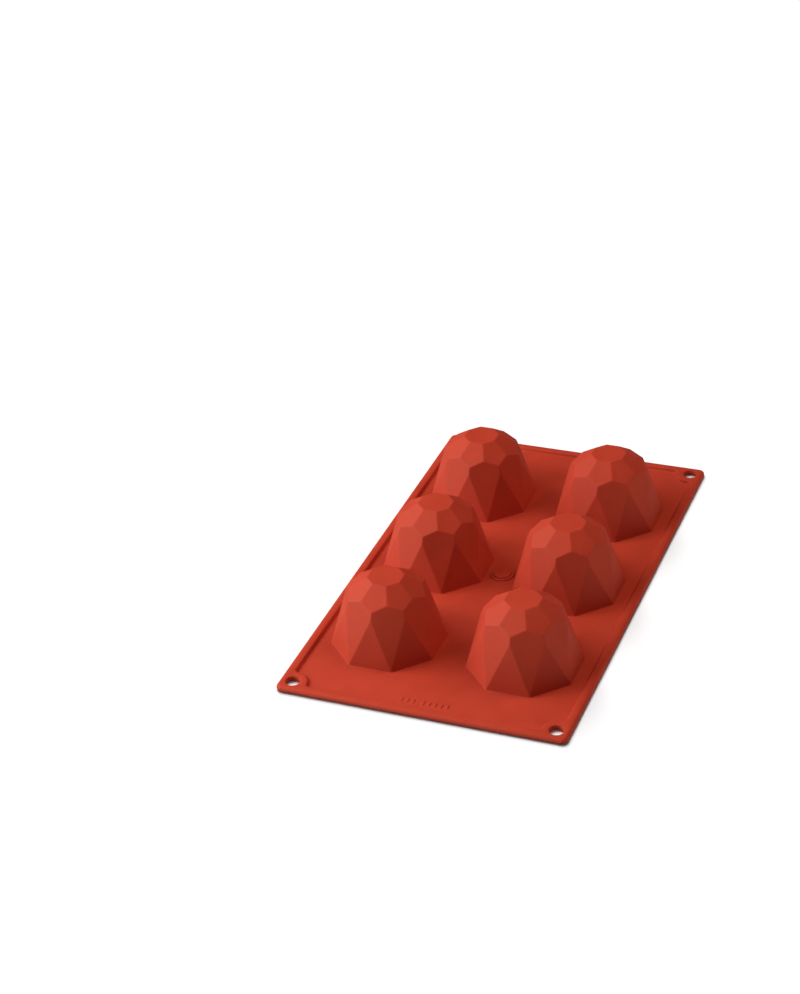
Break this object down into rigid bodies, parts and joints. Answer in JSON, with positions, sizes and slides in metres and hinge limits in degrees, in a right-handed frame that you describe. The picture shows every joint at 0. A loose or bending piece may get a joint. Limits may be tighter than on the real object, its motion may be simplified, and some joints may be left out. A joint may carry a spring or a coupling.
{
  "type": "resin casting mould",
  "caption": "Flexible one-piece silicone casting mould: faceted gem cups in two columns on a thin rimmed sheet with a hanging hole in each corner.",
  "frame": {"origin": "middle of the sheet's flat mouth side, which is the plane the mould lies on", "axes": "+Z from the cups' mouths to their tips, +Y along the sheet's long side towards the rear row, +X across the sheet to the right"},
  "size_m": [0.175, 0.3, 0.0458],
  "materials": {
    "silicone": "satin, terracotta red"
  },
  "bodies": {
    "front_row": {"sheet_front": "silicone", "rim_front_edge": "silicone", "rim_front_left": "silicone", "cup_wall_front_left": "silicone", "eyelet_front_left": "silicone", "rim_front_right": "silicone", "cup_wall_front_right": "silicone", "eyelet_front_right": "silicone"},
    "middle_row": {"sheet_middle": "silicone", "rim_middle_left": "silicone", "cup_wall_middle_left": "silicone", "rim_middle_right": "silicone", "cup_wall_middle_right": "silicone"},
    "rear_row": {"sheet_rear": "silicone", "rim_rear_edge": "silicone", "rim_rear_left": "silicone", "cup_wall_rear_left": "silicone", "eyelet_rear_left": "silicone", "rim_rear_right": "silicone", "cup_wall_rear_right": "silicone", "eyelet_rear_right": "silicone"},
    "crown_front_left": {"cup_crown_front_left": "silicone"},
    "crown_front_right": {"cup_crown_front_right": "silicone"},
    "crown_middle_left": {"cup_crown_middle_left": "silicone"},
    "crown_middle_right": {"cup_crown_middle_right": "silicone"},
    "crown_rear_left": {"cup_crown_rear_left": "silicone"},
    "crown_rear_right": {"cup_crown_rear_right": "silicone"}
  },
  "joints": [
    {"name": "flex_front", "type": "hinge", "parent": "middle_row", "child": "front_row", "pos_m": [0, -0.042, 0.00075], "axis": [-1, 0, 0], "range_deg": [0, 50], "stiffness_Nm_per_rad": 0.014},
    {"name": "flex_rear", "type": "hinge", "parent": "middle_row", "child": "rear_row", "pos_m": [0, 0.042, 0.00075], "axis": [1, 0, 0], "range_deg": [0, 50], "stiffness_Nm_per_rad": 0.014},
    {"name": "press_front_left", "type": "slide", "parent": "front_row", "child": "crown_front_left", "axis": [0, 0, -1], "range_m": [0, 0.015], "stiffness_N_per_m": 500},
    {"name": "press_front_right", "type": "slide", "parent": "front_row", "child": "crown_front_right", "axis": [0, 0, -1], "range_m": [0, 0.015], "stiffness_N_per_m": 500},
    {"name": "press_middle_left", "type": "slide", "parent": "middle_row", "child": "crown_middle_left", "axis": [0, 0, -1], "range_m": [0, 0.015], "stiffness_N_per_m": 500},
    {"name": "press_middle_right", "type": "slide", "parent": "middle_row", "child": "crown_middle_right", "axis": [0, 0, -1], "range_m": [0, 0.015], "stiffness_N_per_m": 500},
    {"name": "press_rear_left", "type": "slide", "parent": "rear_row", "child": "crown_rear_left", "axis": [0, 0, -1], "range_m": [0, 0.015], "stiffness_N_per_m": 500},
    {"name": "press_rear_right", "type": "slide", "parent": "rear_row", "child": "crown_rear_right", "axis": [0, 0, -1], "range_m": [0, 0.015], "stiffness_N_per_m": 500}
  ]
}
